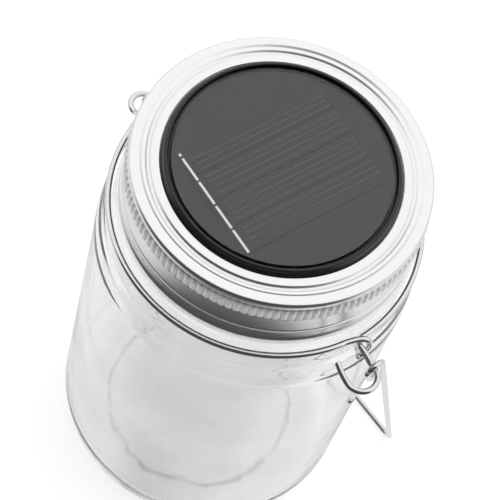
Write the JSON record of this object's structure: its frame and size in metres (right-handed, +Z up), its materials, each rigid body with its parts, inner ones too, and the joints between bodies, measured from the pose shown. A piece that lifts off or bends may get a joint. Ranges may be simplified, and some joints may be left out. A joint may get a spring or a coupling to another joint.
{
  "type": "solar mason jar lantern",
  "caption": "Clear glass mason jar lantern with a screw band holding a round solar lamp module on its mouth, a wire neck ring and a swinging wire bail.",
  "frame": {"origin": "centre of the jar's flat base, on the surface it stands on", "axes": "+Z up along the jar's axis towards the solar lid; the bail hangs on the side between +X and +Y"},
  "size_m": [0.1024, 0.0999, 0.1409],
  "materials": {
    "jar_glass": "clear, polished",
    "stainless_wire": "drawn wire, semi-bright",
    "tinplate": "satin silver",
    "silicone": "matt translucent white",
    "bezel_black": "gloss black",
    "board_black": "matt black",
    "silicon": "dark grey, semi-gloss",
    "tinned_ribbon": "bright tinned",
    "window_clear": "smoked clear, gloss",
    "module_plastic": "moulded white",
    "screw_steel": "zinc plated",
    "cell_sleeve": "printed sleeve, plain",
    "contact_steel": "nickel plated",
    "board_green": "solder mask",
    "chip_black": "moulded",
    "ferrite": "matt",
    "led_clear": "clear resin",
    "knob_black": "moulded"
  },
  "bodies": {
    "jar": {"glass_jar": "jar_glass", "neck_wire": "stainless_wire"},
    "bail": {"bail_handle": "stainless_wire"},
    "seal": {"sealing_gasket": "silicone"},
    "solar_lid": {"bezel_ring": "bezel_black", "panel_board": "board_black", "cell_strip_1": "silicon", "cell_ribbon_1": "tinned_ribbon", "cell_strip_2": "silicon", "cell_ribbon_2": "tinned_ribbon", "cell_strip_3": "silicon", "cell_ribbon_3": "tinned_ribbon", "cell_strip_4": "silicon", "cell_ribbon_4": "tinned_ribbon", "ribbon_pad": "tinned_ribbon", "panel_window": "window_clear", "module_plate": "module_plastic", "battery_case": "module_plastic", "case_screw_1": "screw_steel", "case_screw_2": "screw_steel", "battery_cell": "cell_sleeve", "battery_spring": "contact_steel", "battery_contact": "contact_steel", "circuit_board": "board_green", "driver_chip": "chip_black", "inductor": "ferrite", "led_1": "led_clear", "led_2": "led_clear", "led_3": "led_clear", "led_4": "led_clear", "switch_body": "contact_steel"},
    "screw_band": {"screw_band": "tinplate"},
    "battery_door": {"battery_door": "module_plastic", "door_screw": "screw_steel"},
    "switch": {"switch_knob": "knob_black"}
  },
  "joints": [
    {"name": "bail_swing", "type": "hinge", "parent": "jar", "child": "bail", "pos_m": [-0.00175, -0.00256, 0.114], "axis": [0.8261, -0.5635, 0], "range_deg": [0, 208]},
    {"name": "lid_lift_off", "type": "slide", "parent": "jar", "child": "seal", "axis": [0, 0, 1], "range_m": [0, 0.055]},
    {"name": "lid_rise", "type": "slide", "parent": "seal", "child": "solar_lid", "axis": [0, 0, 1], "range_m": [0, 0.00763]},
    {"name": "band_turn", "type": "hinge", "parent": "solar_lid", "child": "screw_band", "pos_m": [0, 0, 0.1395], "axis": [0, 0, 1], "range_deg": [0, 540]},
    {"name": "switch_slide", "type": "slide", "parent": "solar_lid", "child": "switch", "axis": [1, 0, 0], "range_m": [0, 0.002]},
    {"name": "door_lift_off", "type": "slide", "parent": "solar_lid", "child": "battery_door", "axis": [0, 0, -1], "range_m": [0, 0.03]}
  ],
  "couplings": [
    {"joint": "lid_rise", "follows": "band_turn", "m_per_rad": 0.00080851}
  ]
}
